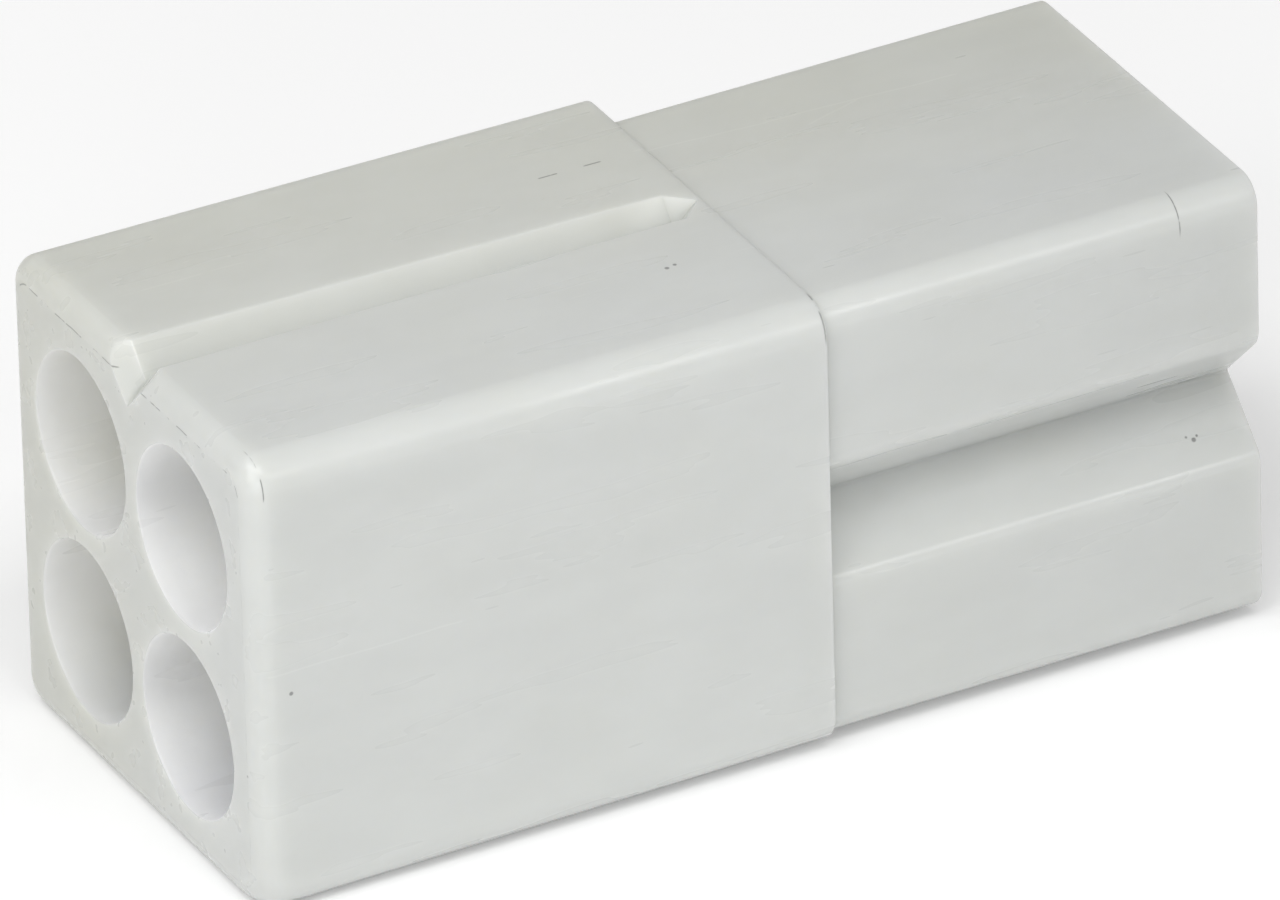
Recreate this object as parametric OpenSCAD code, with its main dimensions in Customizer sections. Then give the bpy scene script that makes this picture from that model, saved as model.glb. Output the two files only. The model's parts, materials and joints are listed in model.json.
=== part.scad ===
// Wire to board connector housing: one moulded block with two rows of round
// crimp-terminal cavities. Wires go in at the -X end, the +X end plugs onto the header.
// Millimetres, +Z up, +X towards the mating end. The origin is under the middle of the block,
// at the level of its lowest edge.

/* [Cavities] */
// Distance between neighbouring cavities, and between the two rows
pitch = 3.68; // [3.5:0.01:4.2]
// Cavities in each of the two rows
columns = 2; // [2:1:6]
// Diameter of the wire-entry bore
entry_bore_d = 3.25; // [2.7:0.05:3.4]
// Distance from the inner end of the wire-entry bore to the mating block
entry_bore_gap = 0.7; // [0.3:0.1:2]
// Diameter of the throat that the terminal's tines lock behind
throat_d = 2.2; // [1.6:0.05:2.5]
// Length of the throat
throat_len = 1.5; // [0.6:0.1:3]
// Diameter of the bore at the mating end
mating_bore_d = 2.6; // [2.3:0.05:2.9]

/* [Wire-entry block] */
// Length of the wire-entry block
entry_len = 11; // [8:0.1:14]
// Wall outside the wire-entry bores, at the entry face
entry_wall = 0.925; // [0.7:0.005:1.5]
// Draft of the top and the underside, in degrees
entry_draft = 0.55; // [0:0.05:0.8]
// Rounding around the entry face
face_edge_r = 0.42; // [0.1:0.01:0.55]

/* [Mating block] */
// Length of the mating block
mating_len = 8.43; // [6:0.01:12]
// Wall outside the mating bores, on the keyed side, the top and the underside
mating_wall = 1.09; // [0.9:0.01:1.2]
// Wall outside the mating bores, on the side that steps in
step_side_wall = 0.385; // [0.3:0.005:1]

/* [Edges] */
// Rounding of the wire-entry block's long edges on the keyed side
keyed_edge_r = 0.6; // [0.56:0.01:0.8]
// Rounding of the wire-entry block's long edges on the side that steps in
stepped_edge_r = 0.56; // [0.56:0.01:0.8]
// Rounding of the mating block's long edges
mating_edge_r = 0.5; // [0.2:0.01:0.6]

/* [Keying groove in the side] */
// Depth of the V groove along the mating block
key_depth = 1.13; // [0.6:0.01:1.4]
// Rounding of the groove's two lips
key_lip_r = 0.4; // [0.1:0.05:0.6]

/* [Grooves in the top] */
// Depth of the V groove between two columns, at the entry face
top_groove_depth = 0.55; // [0.3:0.01:0.7]
// Flat left between the end of a groove and the mating block
top_groove_land = 0.1; // [0:0.05:2]
// How far a groove flares out where it meets the entry face
top_groove_flare = 0.38; // [0.1:0.01:0.5]

/* [Hidden] */

housing_colour = [0.83, 0.84, 0.80];

// Sides of the circles that are blended by hull(), and of all the true arcs
blend_fn = 40;
arc_fn = 96;
// How far a cut runs past the face that it opens
over = 1;

total_len = entry_len + mating_len;
entry_bore_len = entry_len - entry_bore_gap;
// From the middle of the array to the outermost cavity centres
reach_y = (columns - 1) * pitch / 2;
reach_z = pitch / 2;

// The wire-entry block's half sizes at the entry face, and its half height at the step
entry_y = reach_y + entry_bore_d / 2 + entry_wall;
entry_z = reach_z + entry_bore_d / 2 + entry_wall;
entry_z_step = entry_z - entry_len * tan(entry_draft);

// The mating block's sides, measured from the middle of the array
keyed_y = -(reach_y + mating_bore_d / 2 + mating_wall);
stepped_y = reach_y + mating_bore_d / 2 + step_side_wall;
mating_z = reach_z + mating_bore_d / 2 + mating_wall;

// Centres of the cavities in the section, as [y, z]
cavity_centres = [
    for (column = [0 : columns - 1])
        for (level = [-1, 1])
            [column * pitch - reach_y, level * reach_z]
];

// Turns a flat drawing of a section, drawn as [y, z], into a bar along +X
module along_x(length)
    rotate([90, 0, 90])
        linear_extrude(height = length)
            children();

// A rounded corner of the wire-entry block, standing with its axis along +X:
// the ring rounds the corner and the entry face's edge together
module entry_face_corner(radius)
    translate([face_edge_r, 0, 0])
        rotate([0, 90, 0])
            rotate_extrude($fn = blend_fn)
                intersection() {
                    translate([radius - face_edge_r, 0])
                        circle(r = face_edge_r, $fn = blend_fn);
                    translate([0, -face_edge_r])
                        square([radius, 2 * face_edge_r]);
                }

// The same long edge where the block ends at the step, which is sharp
module step_corner(radius)
    translate([entry_len - face_edge_r, 0, 0])
        rotate([0, 90, 0])
            cylinder(r = radius, h = face_edge_r, $fn = blend_fn);

// The larger half of the block, lofted from the rounded entry face to the step
module entry_block()
    hull()
        for (edge = [[-1, keyed_edge_r], [1, stepped_edge_r]])
            for (level = [-1, 1])
                translate([0, edge[0] * (entry_y - edge[1]), 0]) {
                    translate([0, 0, level * (entry_z - edge[1])])
                        entry_face_corner(edge[1]);
                    translate([0, 0, level * (entry_z_step - edge[1])])
                        step_corner(edge[1]);
                }

// Rectangle with true round corners, from its two opposite corners
module rounded_section(low, high, radius) {
    translate([low[0] + radius, low[1]])
        square([high[0] - low[0] - 2 * radius, high[1] - low[1]]);
    translate([low[0], low[1] + radius])
        square([high[0] - low[0], high[1] - low[1] - 2 * radius]);
    for (y = [low[0] + radius, high[0] - radius])
        for (z = [low[1] + radius, high[1] - radius])
            translate([y, z])
                circle(r = radius, $fn = arc_fn);
}

// What the rounding takes off one lip of the key groove. The lip stands at the origin,
// the block's side runs up from it and the groove's wall runs in at 45 degrees below it.
module lip_rounding() {
    tangent = key_lip_r * tan(22.5);
    difference() {
        polygon([
            [-over, 0],
            [-over, tangent],
            [0, tangent],
            [key_lip_r, tangent],
            [tangent * cos(45), -tangent * sin(45)],
            [0, -over],
        ]);
        translate([key_lip_r, tangent])
            circle(r = key_lip_r, $fn = arc_fn);
    }
}

// Section of the V groove in the keyed side, with both lips rounded
module key_groove_section()
    translate([keyed_y, 0]) {
        polygon([
            [key_depth, 0],
            [-over, key_depth + over],
            [-over, -key_depth - over],
        ]);
        for (level = [0, 1])
            mirror([0, level])
                translate([0, key_depth])
                    lip_rounding();
    }

// The smaller half of the block, which goes into the header
module mating_block()
    translate([entry_len - over, 0, 0])
        along_x(mating_len + over)
            difference() {
                rounded_section([keyed_y, -mating_z], [stepped_y, mating_z], mating_edge_r);
                key_groove_section();
            }

// Bar with a V section, along +X. Its root lies on the X axis, it opens upwards,
// and slope is the rise of its walls.
module v_bar(length, slope = 1)
    along_x(length)
        polygon([
            [0, 0],
            [-entry_z, slope * entry_z],
            [entry_z, slope * entry_z],
        ]);

// V groove between two columns. Its end ramps up at 45 degrees, and its mouth flares at 45 degrees.
module top_groove() {
    groove_end = entry_len - top_groove_land;
    end_depth = top_groove_depth - groove_end * tan(entry_draft);
    translate([0, 0, entry_z - top_groove_depth]) {
        intersection() {
            translate([-over, 0, 0])
                v_bar(groove_end + over);
            translate([groove_end - end_depth, 0, 0])
                rotate([0, -45, 0])
                    translate([-total_len, -entry_y, 0])
                        cube([2 * total_len, 2 * entry_y, total_len]);
        }
        translate([top_groove_flare, 0, 0])
            rotate([0, 135, 0])
                rotate([180, 0, 0])
                    v_bar(top_groove_flare * sqrt(2) + over, slope = 1 / sqrt(2));
    }
}

// One cavity: wire entry, throat and mating bore on one axis
module cavity() {
    throat_end = entry_bore_len + throat_len;
    rotate([0, 90, 0]) {
        translate([0, 0, -over])
            cylinder(d = entry_bore_d, h = entry_bore_len + over, $fn = arc_fn);
        translate([0, 0, entry_bore_len - over])
            cylinder(d = throat_d, h = throat_len + 2 * over, $fn = arc_fn);
        translate([0, 0, throat_end])
            cylinder(d = mating_bore_d, h = total_len - throat_end + over, $fn = arc_fn);
    }
}

module housing()
    color(housing_colour)
        translate([-total_len / 2, 0, entry_z])
            difference() {
                union() {
                    entry_block();
                    mating_block();
                }
                for (column = [1 : columns - 1])
                    translate([0, (column - columns / 2) * pitch, 0])
                        top_groove();
                for (centre = cavity_centres)
                    translate([0, centre[0], centre[1]])
                        cavity();
            }

housing();
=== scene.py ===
"""Looks of the wire to board connector housing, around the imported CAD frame.

The CAD solid gives the sizes. One detailed mesh stands for it: the same two blocks, grooves
and cavities, with the fine edge radii of the moulding, in natural translucent nylon.
Shape functions work in millimetres about the middle of the cavity array at the wire-entry face.
"""
import json
import math

import bmesh
import bpy
from mathutils import Matrix, Vector


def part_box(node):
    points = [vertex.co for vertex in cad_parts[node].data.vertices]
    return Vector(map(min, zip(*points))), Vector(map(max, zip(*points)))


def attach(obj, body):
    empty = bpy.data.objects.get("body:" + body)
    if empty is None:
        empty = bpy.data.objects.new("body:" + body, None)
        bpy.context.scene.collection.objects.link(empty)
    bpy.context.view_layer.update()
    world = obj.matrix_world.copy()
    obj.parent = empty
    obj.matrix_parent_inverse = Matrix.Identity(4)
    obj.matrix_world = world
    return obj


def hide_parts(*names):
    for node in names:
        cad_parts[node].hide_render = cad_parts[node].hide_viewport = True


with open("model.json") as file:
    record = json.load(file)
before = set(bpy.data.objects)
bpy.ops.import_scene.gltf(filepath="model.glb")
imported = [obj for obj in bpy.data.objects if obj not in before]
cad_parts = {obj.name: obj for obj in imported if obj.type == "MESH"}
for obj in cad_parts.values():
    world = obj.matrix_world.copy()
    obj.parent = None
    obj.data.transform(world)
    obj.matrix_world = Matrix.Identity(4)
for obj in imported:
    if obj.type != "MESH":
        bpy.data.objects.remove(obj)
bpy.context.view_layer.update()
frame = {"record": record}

MM = 0.001

# The frame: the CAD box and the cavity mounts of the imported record
box_low, box_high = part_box("housing")
mounts = {mount["name"]: mount for mount in frame["record"]["mounts"]}
entry_mounts = [mount for name, mount in mounts.items() if name.startswith("wire_entry")]
mating_mounts = [mount for name, mount in mounts.items() if name.startswith("mating_bore")]

# Main sizes in millimetres, from the frame
TOTAL_LEN = (box_high.x - box_low.x) / MM
ENTRY_HALF = (box_high.z - box_low.z) / 2 / MM
REACH = max(mount["pos_m"][1] for mount in entry_mounts) / MM
ENTRY_BORE_R = entry_mounts[0]["dims"]["r_mm"]
ENTRY_BORE_LEN = entry_mounts[0]["dims"]["length_mm"]
MATING_BORE_R = mating_mounts[0]["dims"]["r_mm"]
MATING_BORE_LEN = mating_mounts[0]["dims"]["length_mm"]

# The rest of the section, as in the CAD source
ENTRY_LEN = 11.0
ENTRY_DRAFT = math.radians(0.55)
KEYED_Y = -4.23
STEPPED_Y = 3.525
MATING_HALF = 4.23
THROAT_R = 1.1
KEYED_EDGE_R = 0.6
STEPPED_EDGE_R = 0.56
MATING_EDGE_R = 0.5
KEY_DEPTH = 1.13
TOP_GROOVE_DEPTH = 0.55
TOP_GROOVE_LAND = 0.1
TOP_GROOVE_FLARE = 0.38

# Fine radii that only the looks need
FACE_EDGE_R = 0.42
FRONT_BALL_R = 0.5
FRONT_BALL_LEN = 0.9
STEP_EDGE_R = 0.022
MATING_FACE_R = 0.06
KEY_UPPER_LIP_R = 0.45
KEY_LOWER_LIP_R = 0.3
KEY_ROOT_R = 0.06
MOUTH_R = 0.05
SHOULDER_R = 0.08

# Edges sharper than this angle are shaded as hard edges, and large faces weigh more in the shading
SHARP_DEG = 34
LARGE_FACE_WEIGHT = 80

# Places along the block where a section is drawn, besides those that the shapes ask for
ENTRY_PLACES = [0.6, 2.0, 4.0, 6.0, 8.0, 9.5]
MATING_PLACES = [11.5, 12.5, 14.0, 16.0, 18.0, 19.0]

# The flash line on the entry face: a rounded square, and half the line's width
FLASH_HALF = 4.0
FLASH_CORNER_R = 0.35
FLASH_LINE = 0.022

# Ticks across the keyed top edge, as (x, half width)
TICKS = [(0.3, 0.02), (17.9, 0.022), (ENTRY_LEN - 0.03, 0.03)]

# The melt's weld lines on the top, and the flow line on the keyed side
WELD_FAR_Y = REACH + 0.18
WELD_NEAR_Y = 0.02 - REACH
WELD_LONG_Y = 2.08
WELD_LONG_SLOPE = 0.06
BRANCH_START = (13.9, 1.5)
BRANCH_SLOPE = -0.3
GATE_RUN_Z = 0.42
WELD_LIGHTER = 0.05
DASHES_Y = 2.0

# Heights between which a mark on the top fades in, and the same across the keyed side
TOP_MARKS = (4.05, 4.15)
KEYED_MARKS = (-4.2, -4.3)

# The two gate marks on the keyed side and the dark specks, as (place, radius)
GATE_MARKS = [
    ((4.3, -4.39, 0.07), 0.34),
    ((5.2, -4.39, -0.2), 0.3),
]
SPECKS = [
    ((0.68, -4.39, -0.09), 0.055),
    ((17.04, -4.23, 1.1), 0.035),
    ((11.02, -4.25, 2.82), 0.06),
    ((9.35, -1.8, 4.3), 0.06),
    ((9.52, -1.76, 4.3), 0.05),
    ((18.34, -3.81, -0.71), 0.06),
    ((18.22, -3.77, -0.64), 0.045),
    ((18.42, -3.76, -0.68), 0.04),
    ((0.03, -4.0, -1.7), 0.05),
]

# Share of a spot's radius that is marked in full
SPOT_CORE = 0.35
# How bright the nylon stays under a dark mark
MARK_TONE = 0.45

# The nylon: colours of the keyed side and of the stepped side, the stepped side's darker with painted
# shade, and how far light spreads in it
OUTER_COLOURS_WITH_PAINTED_SHADE = ((0.655, 0.67, 0.653), (0.62, 0.628, 0.58))
# Cavity walls: much lighter colours, painted light in the hollows, lightest in the keyed side's cavities
CAVITY_PAINTED_LIGHT_COLOURS = ((0.985, 0.99, 0.975), (0.72, 0.725, 0.69))
OUTER_SCATTER = 0.7
CAVITY_SCATTER = 4.0
SCATTER_BY_COLOUR = (1.0, 0.97, 0.9)
NYLON_IOR = 1.53
ROUGHNESS = (0.26, 0.38)
# Painted shade at the mating end: how bright the nylon is there against the wire end
END_PAINTED_SHADE = 0.94
END_PAINTED_SHADE_FROM = 8.0
CLOUD_SHIFT = 0.7
MOTTLE = (0.985, 1.015)

# Relief of the surface: its unit, then the heights of the long waves and the streaks in that unit
RELIEF_UNIT = 0.006
WAVE_HEIGHT = 6.0
STREAK_HEIGHT = 0.5
# Noise pulled out along the block, and noise that changes along it only
STREAKED = (0.12, 1, 1)
ALONG_ONLY = (1, 0.1, 0.1)

CORNER_STEPS = 10
LIP_STEPS = 6
ROOT_STEPS = 4
FACE_STEPS = 10
CAVITY_STEPS = 96
NO_GROOVE = 0.02


def arc(centre, radius, start, end, steps):
    """Points of an arc, both ends included, angles in degrees."""
    points = []
    for step in range(steps + 1):
        angle = math.radians(start + (end - start) * step / steps)
        points.append((centre[0] + radius * math.cos(angle), centre[1] + radius * math.sin(angle)))
    return points


def key_groove_profile():
    """Depth into the side and height, from the lower lip to the upper one."""
    points = []
    lower_run = KEY_LOWER_LIP_R * math.tan(math.radians(22.5))
    for depth, height in arc((KEY_LOWER_LIP_R, 0), KEY_LOWER_LIP_R, 180, 135, LIP_STEPS):
        points.append((depth, height - KEY_DEPTH - lower_run))
    root_centre = KEY_DEPTH - KEY_ROOT_R * math.sqrt(2)
    points += arc((root_centre, 0), KEY_ROOT_R, -45, 45, ROOT_STEPS)
    upper_run = KEY_UPPER_LIP_R * math.tan(math.radians(22.5))
    for depth, height in arc((KEY_UPPER_LIP_R, 0), KEY_UPPER_LIP_R, -135, -180, LIP_STEPS):
        points.append((depth, height + KEY_DEPTH + upper_run))
    return points


def unit_groove_profile():
    """Across and down, for a V groove of half width 1 and depth 1 with softened lips and root."""
    lip_r = 0.14
    root_r = 0.1
    run = lip_r * math.tan(math.radians(22.5))
    lip = [(-1 - run + x, y - lip_r) for x, y in arc((0, 0), lip_r, 90, 45, 3)]
    root = [(x, y - 1 + root_r * math.sqrt(2)) for x, y in arc((0, 0), root_r, 225, 315, 4)]
    mirrored = [(-x, y) for x, y in reversed(lip)]
    return [(x, -y) for x, y in lip + root + mirrored]


KEY_PROFILE = key_groove_profile()
GROOVE_PROFILE = unit_groove_profile()


def outline(keyed, stepped, half, radii, key_open, groove_depth):
    """One section as (y, z) points. radii: keyed top, stepped top, stepped low, keyed low."""
    keyed_top, stepped_top, stepped_low, keyed_low = radii
    groove_half = max(groove_depth, NO_GROOVE)
    points = [(keyed + depth * key_open, height) for depth, height in KEY_PROFILE]
    points += arc((keyed + keyed_top, half - keyed_top), keyed_top, 180, 90, CORNER_STEPS)
    points += [(across * groove_half, half - down * groove_depth) for across, down in GROOVE_PROFILE]
    points += arc((stepped - stepped_top, half - stepped_top), stepped_top, 90, 0, CORNER_STEPS)
    points += arc((stepped - stepped_low, stepped_low - half), stepped_low, 0, -90, CORNER_STEPS)
    points += arc((keyed + keyed_low, keyed_low - half), keyed_low, -90, -180, CORNER_STEPS)
    return points


def entry_groove_depth(x, top):
    """Depth of the top groove at x, where the top surface stands at height top."""
    root = ENTRY_HALF - TOP_GROOVE_DEPTH
    groove_end = ENTRY_LEN - TOP_GROOVE_LAND
    end_depth = TOP_GROOVE_DEPTH - groove_end * math.tan(ENTRY_DRAFT)
    flare = max(0.0, TOP_GROOVE_FLARE - x)
    ramp = max(0.0, x - (groove_end - end_depth))
    return max(0.0, top - (root - flare + ramp))


def entry_section(x):
    """Outline of the wire-entry block at x, with its face rounding and its draft."""
    inset = 0.0
    if x < FACE_EDGE_R:
        inset = FACE_EDGE_R - math.sqrt(FACE_EDGE_R ** 2 - (FACE_EDGE_R - x) ** 2)
    from_step = ENTRY_LEN - x
    if from_step < STEP_EDGE_R:
        inset = STEP_EDGE_R - math.sqrt(STEP_EDGE_R ** 2 - (STEP_EDGE_R - from_step) ** 2)
    ball = FRONT_BALL_R * max(0.0, 1 - x / FRONT_BALL_LEN) ** 2
    half = ENTRY_HALF - x * math.tan(ENTRY_DRAFT) - inset
    keyed_r = KEYED_EDGE_R - inset
    stepped_r = STEPPED_EDGE_R - inset
    radii = (keyed_r, stepped_r, stepped_r, keyed_r + ball)
    depth = entry_groove_depth(x, half)
    return outline(inset - ENTRY_HALF, ENTRY_HALF - inset, half, radii, 0, depth)


def mating_section(x):
    """Outline of the mating block at x, with the key groove open."""
    from_end = TOTAL_LEN - x
    inset = 0.0
    if from_end < MATING_FACE_R:
        inset = MATING_FACE_R - math.sqrt(MATING_FACE_R ** 2 - (MATING_FACE_R - from_end) ** 2)
    radii = (MATING_EDGE_R - inset,) * 4
    return outline(KEYED_Y + inset, STEPPED_Y - inset, MATING_HALF - inset, radii, 1, 0)


def stations():
    """Places along the block where a section is drawn, and the section function of each."""
    face = []
    for step in range(FACE_STEPS + 1):
        face.append(FACE_EDGE_R * (1 - math.cos(math.radians(90 * step / FACE_STEPS))))
    groove_end = ENTRY_LEN - TOP_GROOVE_LAND
    end_depth = TOP_GROOVE_DEPTH - groove_end * math.tan(ENTRY_DRAFT)
    entry = face + ENTRY_PLACES + [TOP_GROOVE_FLARE, FRONT_BALL_LEN, groove_end - end_depth, groove_end]
    entry += [ENTRY_LEN - STEP_EDGE_R * (1 - math.sin(math.radians(30 * step))) for step in range(4)]
    mating = [ENTRY_LEN] + MATING_PLACES
    mating += [TOTAL_LEN - MATING_FACE_R * (1 - math.sin(math.radians(22.5 * step))) for step in range(5)]
    places = [(x, entry_section) for x in sorted(set(entry))]
    places += [(x, mating_section) for x in sorted(set(mating))]
    return places


def new_mesh_object(name, build):
    """A mesh object made by build(bm), in millimetres about the array's middle at the entry face."""
    mesh = bpy.data.meshes.new(name)
    bm = bmesh.new()
    build(bm)
    bmesh.ops.recalc_face_normals(bm, faces=bm.faces)
    place = Vector((box_low.x, 0, (box_low.z + box_high.z) / 2))
    bm.transform(Matrix.Translation(place) @ Matrix.Scale(MM, 4))
    bm.to_mesh(mesh)
    bm.free()
    piece = bpy.data.objects.new(name, mesh)
    bpy.context.scene.collection.objects.link(piece)
    return piece


def build_outer(bm):
    """Both blocks as one loft of closed outlines with flat ends."""
    rings = []
    for x, section in stations():
        rings.append([bm.verts.new((x, y, z)) for y, z in section(x)])
    count = len(rings[0])
    for ring, following in zip(rings, rings[1:]):
        for index in range(count):
            after = (index + 1) % count
            bm.faces.new((ring[index], ring[after], following[after], following[index]))
    bm.faces.new(rings[0])
    bm.faces.new(rings[-1])
    bmesh.ops.remove_doubles(bm, verts=bm.verts, dist=0.0005)


def cavity_profile():
    """Radius of one cavity along x, with rounded mouths and a filleted locking shoulder."""
    beyond = 1.0
    throat_start = ENTRY_BORE_LEN
    throat_end = TOTAL_LEN - MATING_BORE_LEN
    profile = [(-beyond, ENTRY_BORE_R + MOUTH_R)]
    profile += arc((MOUTH_R, ENTRY_BORE_R + MOUTH_R), MOUTH_R, 180, 270, 5)
    profile += arc((throat_start - SHOULDER_R, ENTRY_BORE_R - SHOULDER_R), SHOULDER_R, 90, 0, 4)
    profile += arc((throat_start + MOUTH_R, THROAT_R + MOUTH_R), MOUTH_R, 180, 270, 4)
    profile += arc((throat_end - MOUTH_R, THROAT_R + MOUTH_R), MOUTH_R, 270, 360, 4)
    profile += arc((throat_end + SHOULDER_R, MATING_BORE_R - SHOULDER_R), SHOULDER_R, 180, 90, 4)
    profile += arc((TOTAL_LEN - MOUTH_R, MATING_BORE_R + MOUTH_R), MOUTH_R, 270, 360, 5)
    profile += [(TOTAL_LEN + beyond, MATING_BORE_R + MOUTH_R)]
    return profile


def build_cavities(bm):
    """The four cavities as closed lathe forms, to be cut out of the block."""
    profile = cavity_profile()
    for y in (-REACH, REACH):
        for z in (-REACH, REACH):
            rings = []
            for x, radius in profile:
                ring = []
                for step in range(CAVITY_STEPS):
                    angle = 2 * math.pi * step / CAVITY_STEPS
                    corner = (x, y + radius * math.cos(angle), z + radius * math.sin(angle))
                    ring.append(bm.verts.new(corner))
                rings.append(ring)
            for ring, following in zip(rings, rings[1:]):
                for step in range(CAVITY_STEPS):
                    after = (step + 1) % CAVITY_STEPS
                    bm.faces.new((ring[step], ring[after], following[after], following[step]))
            bm.faces.new(rings[0])
            bm.faces.new(rings[-1])


def build_housing():
    """The housing's mesh: the loft with the cavities cut out, smooth except at its real edges."""
    outer = new_mesh_object("housing_shell", build_outer)
    cutter = new_mesh_object("cavity_cutter", build_cavities)
    cut = outer.modifiers.new("cavities", "BOOLEAN")
    cut.operation = "DIFFERENCE"
    cut.solver = "EXACT"
    cut.object = cutter
    depsgraph = bpy.context.evaluated_depsgraph_get()
    mesh = bpy.data.meshes.new_from_object(outer.evaluated_get(depsgraph))
    outer.modifiers.clear()
    outer.data = mesh
    bpy.data.objects.remove(cutter)
    for polygon in mesh.polygons:
        polygon.use_smooth = True
    mesh.set_sharp_from_angle(angle=math.radians(SHARP_DEG))
    weighted = outer.modifiers.new("flat_faces_flat", "WEIGHTED_NORMAL")
    weighted.keep_sharp = True
    weighted.weight = LARGE_FACE_WEIGHT
    return outer


def calc(tree, operation, first, second=0.0):
    """A Math node on sockets or plain numbers; returns its output."""
    node = tree.nodes.new("ShaderNodeMath")
    node.operation = operation
    for socket, value in zip(node.inputs, (first, second)):
        if isinstance(value, bpy.types.NodeSocket):
            tree.links.new(value, socket)
        else:
            socket.default_value = value
    return node.outputs["Value"]


def product(tree, first, *others):
    """All the sockets and numbers multiplied together."""
    for other in others:
        first = calc(tree, "MULTIPLY", first, other)
    return first


def total(tree, first, *others):
    """All the sockets and numbers added together."""
    for other in others:
        first = calc(tree, "ADD", first, other)
    return first


def fade(tree, value, start, end, low=0.0, high=1.0):
    """low at start, high at end, smooth between."""
    node = tree.nodes.new("ShaderNodeMapRange")
    node.interpolation_type = "SMOOTHSTEP"
    node.inputs["From Min"].default_value = start
    node.inputs["From Max"].default_value = end
    node.inputs["To Min"].default_value = low
    node.inputs["To Max"].default_value = high
    tree.links.new(value, node.inputs["Value"])
    return node.outputs["Result"]


def line(tree, value, centre, half_width):
    """1 where value is at centre, 0 from half_width away."""
    away = calc(tree, "ABSOLUTE", calc(tree, "SUBTRACT", value, centre))
    return fade(tree, away, half_width, 0.0)


def between(tree, value, low, high, soft=0.1):
    """1 between low and high, 0 outside, with soft ends."""
    return product(tree, fade(tree, value, low - soft, low), fade(tree, value, high + soft, high))


def spot(tree, place, centre, radius):
    """1 at a point on the surface, 0 from radius away."""
    node = tree.nodes.new("ShaderNodeVectorMath")
    node.operation = "DISTANCE"
    node.inputs[1].default_value = centre
    tree.links.new(place, node.inputs[0])
    return fade(tree, node.outputs["Value"], radius, SPOT_CORE * radius)


def noise(tree, place, per_mm, stretch=(1, 1, 1), detail=3.0):
    """Noise between 0 and 1, with per_mm cells in a millimetre times stretch along each axis."""
    scaled = tree.nodes.new("ShaderNodeVectorMath")
    scaled.operation = "MULTIPLY"
    scaled.inputs[1].default_value = stretch
    tree.links.new(place, scaled.inputs[0])
    node = tree.nodes.new("ShaderNodeTexNoise")
    node.inputs["Scale"].default_value = per_mm
    node.inputs["Detail"].default_value = detail
    tree.links.new(scaled.outputs["Vector"], node.inputs["Vector"])
    return node.outputs["Fac"]


def place_in_mm(tree):
    """Position in millimetres from the array's middle at the entry face, whole and as x, y, z."""
    coordinates = tree.nodes.new("ShaderNodeTexCoord")
    scaled = tree.nodes.new("ShaderNodeVectorMath")
    scaled.operation = "MULTIPLY_ADD"
    scaled.inputs[1].default_value = (1 / MM, 1 / MM, 1 / MM)
    scaled.inputs[2].default_value = (TOTAL_LEN / 2, 0, -ENTRY_HALF)
    tree.links.new(coordinates.outputs["Object"], scaled.inputs[0])
    split = tree.nodes.new("ShaderNodeSeparateXYZ")
    tree.links.new(scaled.outputs["Vector"], split.inputs["Vector"])
    return (scaled.outputs["Vector"], *split.outputs)


def outside(tree, value, limit):
    """How far value lies past the range from -limit to limit, and 0 inside it."""
    past = calc(tree, "SUBTRACT", calc(tree, "ABSOLUTE", value), limit)
    return calc(tree, "MAXIMUM", past, 0)


def face_flash(tree, place, x, y, z):
    """The fine beaded flash line on the entry face, where the rounding of its edges begins."""
    straight = FLASH_HALF - FLASH_CORNER_R
    out_y = outside(tree, y, straight)
    out_z = outside(tree, z, straight)
    squares = total(tree, product(tree, out_y, out_y), product(tree, out_z, out_z))
    reach = calc(tree, "SQRT", squares)
    wobble = calc(tree, "MULTIPLY", noise(tree, place, 1.4), 0.06)
    ring = line(tree, total(tree, reach, wobble), FLASH_CORNER_R + 0.03, FLASH_LINE)
    beads = fade(tree, noise(tree, place, 3.2), 0.42, 0.56)
    clearest_on_top = fade(tree, z, 3.0, 3.6, 0.3, 1.0)
    on_face = fade(tree, x, 0.12, 0.06)
    return product(tree, ring, beads, clearest_on_top, on_face)


def ridge_ticks(tree, place, x, y, z):
    """Thin arcs over the keyed top edge, left by the joints between the mould's inserts."""
    on_edge = product(tree, fade(tree, y, -3.6, -3.9), fade(tree, z, 3.5, 3.8))
    broken = fade(tree, noise(tree, place, 2.2), 0.38, 0.5)
    ticks = total(tree, *[line(tree, x, centre, half_width) for centre, half_width in TICKS])
    return product(tree, ticks, on_edge, broken)


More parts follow.
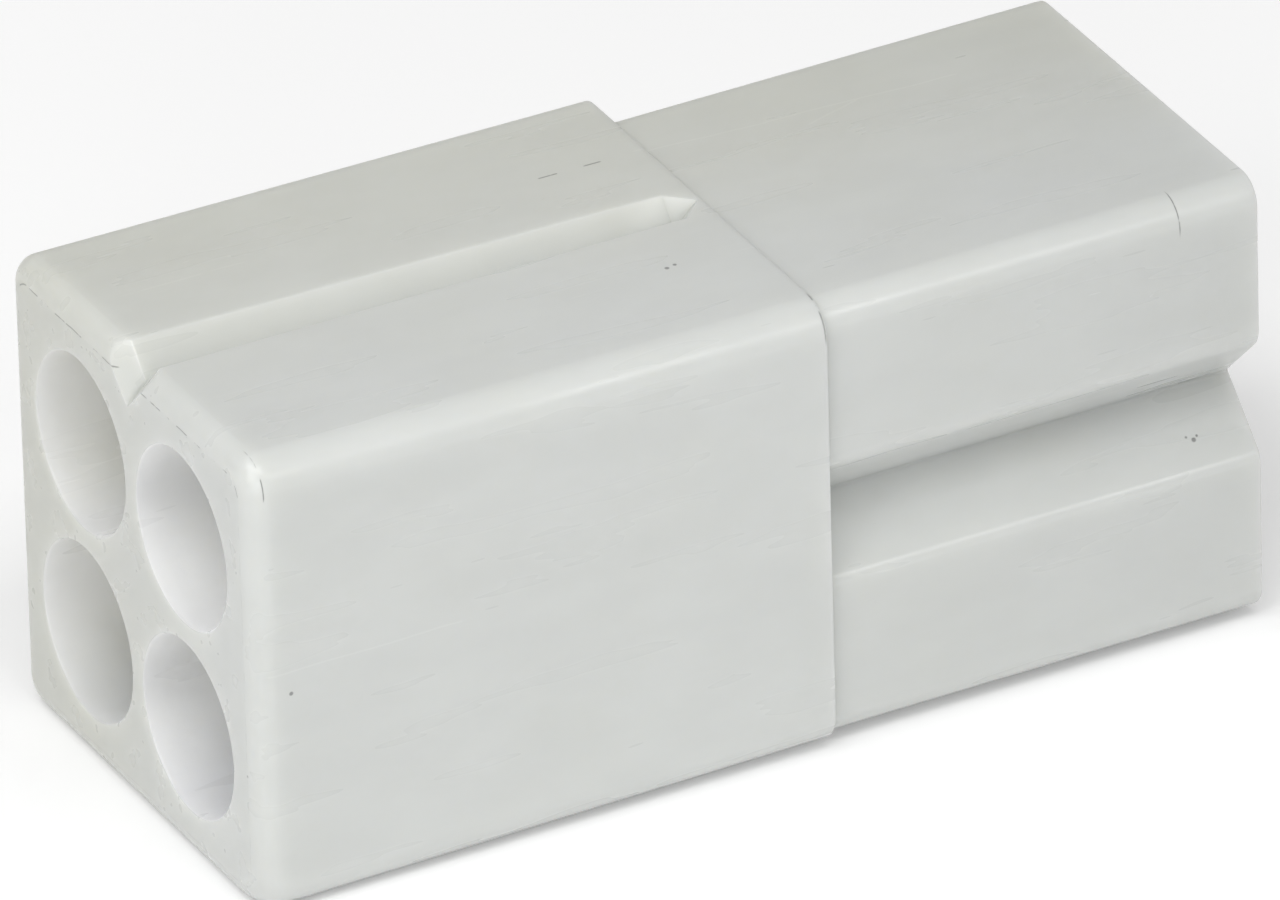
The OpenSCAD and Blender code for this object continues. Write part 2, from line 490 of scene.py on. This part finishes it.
def weld_lines(tree, place, x, y, z):
    """Faint raised lines where the melt met behind the core pins, and the gate's flow line."""
    drift = calc(tree, "MULTIPLY", noise(tree, place, 0.5), 0.16)
    wavy_y = total(tree, y, drift)
    dashes = fade(tree, noise(tree, place, 1.1, ALONG_ONLY), 0.5, 0.6)
    far = product(tree, line(tree, wavy_y, WELD_FAR_Y, 0.035), between(tree, x, 0.5, 5.0), dashes)
    near = product(tree, line(tree, wavy_y, WELD_NEAR_Y, 0.03), between(tree, x, 0.6, 11.0), dashes, 0.6)

    bend = calc(tree, "MULTIPLY", calc(tree, "SUBTRACT", x, ENTRY_LEN), WELD_LONG_SLOPE)
    long_line = line(tree, total(tree, wavy_y, bend), WELD_LONG_Y, 0.035)
    long_one = product(tree, long_line, between(tree, x, 10.8, 16.8))

    start_x, start_y = BRANCH_START
    rise = calc(tree, "MULTIPLY", calc(tree, "SUBTRACT", x, start_x), BRANCH_SLOPE)
    branch_line = line(tree, total(tree, wavy_y, rise), start_y, 0.04)
    branch = product(tree, branch_line, between(tree, x, start_x, 14.9))
    on_top = product(tree, total(tree, far, near, long_one, branch), fade(tree, z, *TOP_MARKS))

    run_line = line(tree, total(tree, z, drift), GATE_RUN_Z, 0.03)
    gate_run = product(tree, run_line, between(tree, x, 0.3, 3.9), fade(tree, y, *KEYED_MARKS))
    return total(tree, on_top, gate_run)


def spots(tree, place, marks):
    """1 at each of the marks, given as (place, radius)."""
    marked = [spot(tree, place, centre, radius) for centre, radius in marks]
    largest = marked[0]
    for following in marked[1:]:
        largest = calc(tree, "MAXIMUM", largest, following)
    return largest


def dark_dashes(tree, place, x, y, z):
    """A row of short dark dashes on the top, in line with the weld line over the stepped cavities."""
    dashes = fade(tree, noise(tree, place, 2.6, ALONG_ONLY), 0.5, 0.58)
    row = product(tree, line(tree, y, DASHES_Y, 0.03), between(tree, x, 8.7, 10.2), dashes)
    return product(tree, row, fade(tree, z, *TOP_MARKS))


def nylon_tone_and_painted_light(tree, place, y, colours):
    """The colour, from the keyed side's to the stepped side's, with a cloudy border. The change across is
    painted light and shade: the outer stepped side darker, the keyed side's cavities lighter.
    """
    cloud = calc(tree, "SUBTRACT", noise(tree, place, 0.35), 0.5)
    shift = calc(tree, "MULTIPLY", cloud, CLOUD_SHIFT)
    across = total(tree, fade(tree, y, -ENTRY_HALF, ENTRY_HALF), shift)
    tone = tree.nodes.new("ShaderNodeMix")
    tone.data_type = "RGBA"
    tone.inputs["A"].default_value = (*colours[0], 1)
    tone.inputs["B"].default_value = (*colours[1], 1)
    tree.links.new(across, tone.inputs["Factor"])
    return tone.outputs["Result"]


def nylon_level(tree, place, x, y, z, marked):
    """What the plain colour is multiplied by: mottling, painted shade towards the mating end and fine
    marks.
    """
    mottle = noise(tree, place, 1.3, (0.5, 1, 1))
    # Painted shade: the colour darkens towards the mating end
    along = fade(tree, x, END_PAINTED_SHADE_FROM, TOTAL_LEN, 1.0, END_PAINTED_SHADE)
    level = product(tree, along, fade(tree, mottle, 0.25, 0.75, *MOTTLE))
    if not marked:
        return level
    lines = weld_lines(tree, place, x, y, z)
    flash = face_flash(tree, place, x, y, z)
    ticks = ridge_ticks(tree, place, x, y, z)
    dashes = dark_dashes(tree, place, x, y, z)
    dark = total(tree, flash, ticks, dashes, spots(tree, place, SPECKS))
    dark = calc(tree, "MINIMUM", dark, 1.0)
    level = product(tree, level, fade(tree, dark, 0.0, 1.0, 1.0, MARK_TONE))
    return total(tree, level, calc(tree, "MULTIPLY", lines, WELD_LIGHTER))


def nylon_relief(tree, place, streaks, marked):
    """Height of the surface in relief units: sink waves, streaks and the two gate marks."""
    waves = noise(tree, place, 0.45, (0.4, 1, 1), 0.0)
    relief = total(tree, product(tree, waves, WAVE_HEIGHT), product(tree, streaks, STREAK_HEIGHT))
    if marked:
        for centre, radius in GATE_MARKS:
            relief = total(tree, relief, spot(tree, place, centre, radius))
    return relief


def nylon_material(name, scatter, colours, marked):
    """Natural nylon: milky, translucent, softly glossy.

    scatter is how far light spreads in it, in millimetres. The second of the colours is that of
    the thinner stepped side, a little darker, which is painted shade, and warmer. For the cavity
    walls both colours are much lighter, which is painted light. marked adds the moulding's
    fine lines, specks and gate marks.
    """
    material = bpy.data.materials.new(name)
    material.use_nodes = True
    tree = material.node_tree
    shader = tree.nodes["Principled BSDF"]
    shader.inputs["IOR"].default_value = NYLON_IOR
    shader.inputs["Subsurface Weight"].default_value = 1.0
    shader.inputs["Subsurface Radius"].default_value = SCATTER_BY_COLOUR
    shader.inputs["Subsurface Scale"].default_value = scatter * MM

    place, x, y, z = place_in_mm(tree)
    shaded = tree.nodes.new("ShaderNodeVectorMath")
    shaded.operation = "SCALE"
    tree.links.new(nylon_tone_and_painted_light(tree, place, y, colours), shaded.inputs[0])
    tree.links.new(nylon_level(tree, place, x, y, z, marked), shaded.inputs["Scale"])
    tree.links.new(shaded.outputs["Vector"], shader.inputs["Base Color"])

    streaks = noise(tree, place, 2.0, STREAKED, 2.0)
    tree.links.new(fade(tree, streaks, 0.3, 0.7, *ROUGHNESS), shader.inputs["Roughness"])

    bump = tree.nodes.new("ShaderNodeBump")
    bump.inputs["Strength"].default_value = 1.0
    bump.inputs["Distance"].default_value = RELIEF_UNIT * MM
    tree.links.new(nylon_relief(tree, place, streaks, marked), bump.inputs["Height"])
    tree.links.new(bump.outputs["Normal"], shader.inputs["Normal"])
    return material


def mark_cavity_walls(mesh, slot):
    """Gives the faces inside the cavities their own material slot."""
    middle_z = (box_low.z + box_high.z) / 2
    rim = (ENTRY_BORE_R + 0.5 * MOUTH_R) * MM
    for polygon in mesh.polygons:
        centre = polygon.center
        off_y = abs(centre.y) - REACH * MM
        off_z = abs(centre.z - middle_z) - REACH * MM
        inside = box_low.x + 0.01 * MM < centre.x < box_high.x - 0.01 * MM
        if inside and math.hypot(off_y, off_z) < rim:
            polygon.material_index = slot


# Camera: the photograph's viewpoint, found by fitting a pinhole camera to the block's edges
CAMERA_MM = (-174.056, -332.146, 221.777)
CAMERA_DEG = (59.8606, 1.3384, -28.4293)
CAMERA_LENS = 717.18
SENSOR_WIDTH = 36


def add_camera():
    """The camera of the photograph's viewpoint."""
    data = bpy.data.cameras.new("camera")
    data.lens = CAMERA_LENS
    data.sensor_width = SENSOR_WIDTH
    data.clip_start = 0.01
    data.clip_end = 10
    camera = bpy.data.objects.new("camera", data)
    camera.location = Vector(CAMERA_MM) * MM
    camera.rotation_euler = [math.radians(angle) for angle in CAMERA_DEG]
    bpy.context.scene.collection.objects.link(camera)
    bpy.context.scene.camera = camera


# Lamps as (azimuth, elevation, side in millimetres, level), all at one distance in millimetres.
# A level of 1 shows a surface that faces the lamp in its own colour.
LAMPS = {
    "left_high": (180, 62, 70, 0.17),
    "corner_high": (225, 62, 70, 0.15),
    "front_high": (270, 62, 70, 0.17),
    "left_low": (210, 35, 70, 0.15),
    "front_low": (240, 15, 70, 0.13),
    "ridge": (299, 33, 50, 0.08),
}
LAMP_DISTANCE = 220
WORLD_LEVEL = 0.38

# Floor: half its side in metres, its tone, and what lifts it to white for the camera alone
FLOOR_HALF = 1.5
PAPER_TONE = 0.9
PAPER_ROUGHNESS = 0.9
PAPER_GLOSS = 0.1
BACKDROP_LIFT = 0.16


def add_lamps():
    """Square lamps around the housing, turned towards its middle."""
    middle = (box_low + box_high) / 2
    for name, (azimuth, elevation, side, level) in LAMPS.items():
        data = bpy.data.lights.new(name, "AREA")
        data.shape = "SQUARE"
        data.size = side * MM
        data.energy = level * (math.pi * LAMP_DISTANCE * MM) ** 2
        lamp = bpy.data.objects.new(name, data)
        around = math.radians(azimuth)
        up = math.radians(elevation)
        flat = math.cos(up)
        towards = Vector((flat * math.cos(around), flat * math.sin(around), math.sin(up)))
        lamp.location = middle + towards * LAMP_DISTANCE * MM
        lamp.rotation_euler = towards.to_track_quat("Z", "Y").to_euler()
        bpy.context.scene.collection.objects.link(lamp)


def add_world():
    """Even light from all around."""
    world = bpy.data.worlds.new("studio")
    world.use_nodes = True
    background = world.node_tree.nodes["Background"]
    background.inputs["Color"].default_value = (1, 1, 1, 1)
    background.inputs["Strength"].default_value = WORLD_LEVEL
    bpy.context.scene.world = world


def floor_material():
    """Pale paper, with a little glow that only the camera and reflections see as white."""
    material = bpy.data.materials.new("floor_white")
    material.use_nodes = True
    tree = material.node_tree
    paper = tree.nodes["Principled BSDF"]
    paper.inputs["Base Color"].default_value = (PAPER_TONE, PAPER_TONE, PAPER_TONE, 1)
    paper.inputs["Roughness"].default_value = PAPER_ROUGHNESS
    paper.inputs["Specular IOR Level"].default_value = PAPER_GLOSS
    glow = tree.nodes.new("ShaderNodeEmission")
    rays = tree.nodes.new("ShaderNodeLightPath")
    seen = calc(tree, "MAXIMUM", rays.outputs["Is Camera Ray"], rays.outputs["Is Glossy Ray"])
    tree.links.new(calc(tree, "MULTIPLY", seen, BACKDROP_LIFT), glow.inputs["Strength"])
    both = tree.nodes.new("ShaderNodeAddShader")
    tree.links.new(paper.outputs["BSDF"], both.inputs[0])
    tree.links.new(glow.outputs["Emission"], both.inputs[1])
    tree.links.new(both.outputs["Shader"], tree.nodes["Material Output"].inputs["Surface"])
    return material


def add_floor():
    """The floor under the housing, which keeps its soft shadow."""
    mesh = bpy.data.meshes.new("floor")
    signs = [(-1, -1), (1, -1), (1, 1), (-1, 1)]
    corners = [(x * FLOOR_HALF, y * FLOOR_HALF, box_low.z) for x, y in signs]
    mesh.from_pydata(corners, [], [(0, 1, 2, 3)])
    mesh.materials.append(floor_material())
    floor = bpy.data.objects.new("floor", mesh)
    bpy.context.scene.collection.objects.link(floor)


housing = build_housing()
housing.data.materials.clear()
# The outer colour darkens towards the stepped side: painted shade on the side away from the lamps.
outer_nylon = nylon_material("moulded_nylon", OUTER_SCATTER, OUTER_COLOURS_WITH_PAINTED_SHADE, True)
# The cavity walls get much lighter colours: painted light in the hollows.
cavity_painted_light = nylon_material("cavity_wall_painted_light", CAVITY_SCATTER, CAVITY_PAINTED_LIGHT_COLOURS, False)
housing.data.materials.append(outer_nylon)
housing.data.materials.append(cavity_painted_light)
mark_cavity_walls(housing.data, 1)
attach(housing, "root")
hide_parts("housing")

add_camera()
add_lamps()
add_world()
add_floor()
bpy.context.scene.view_settings.view_transform = "Standard"
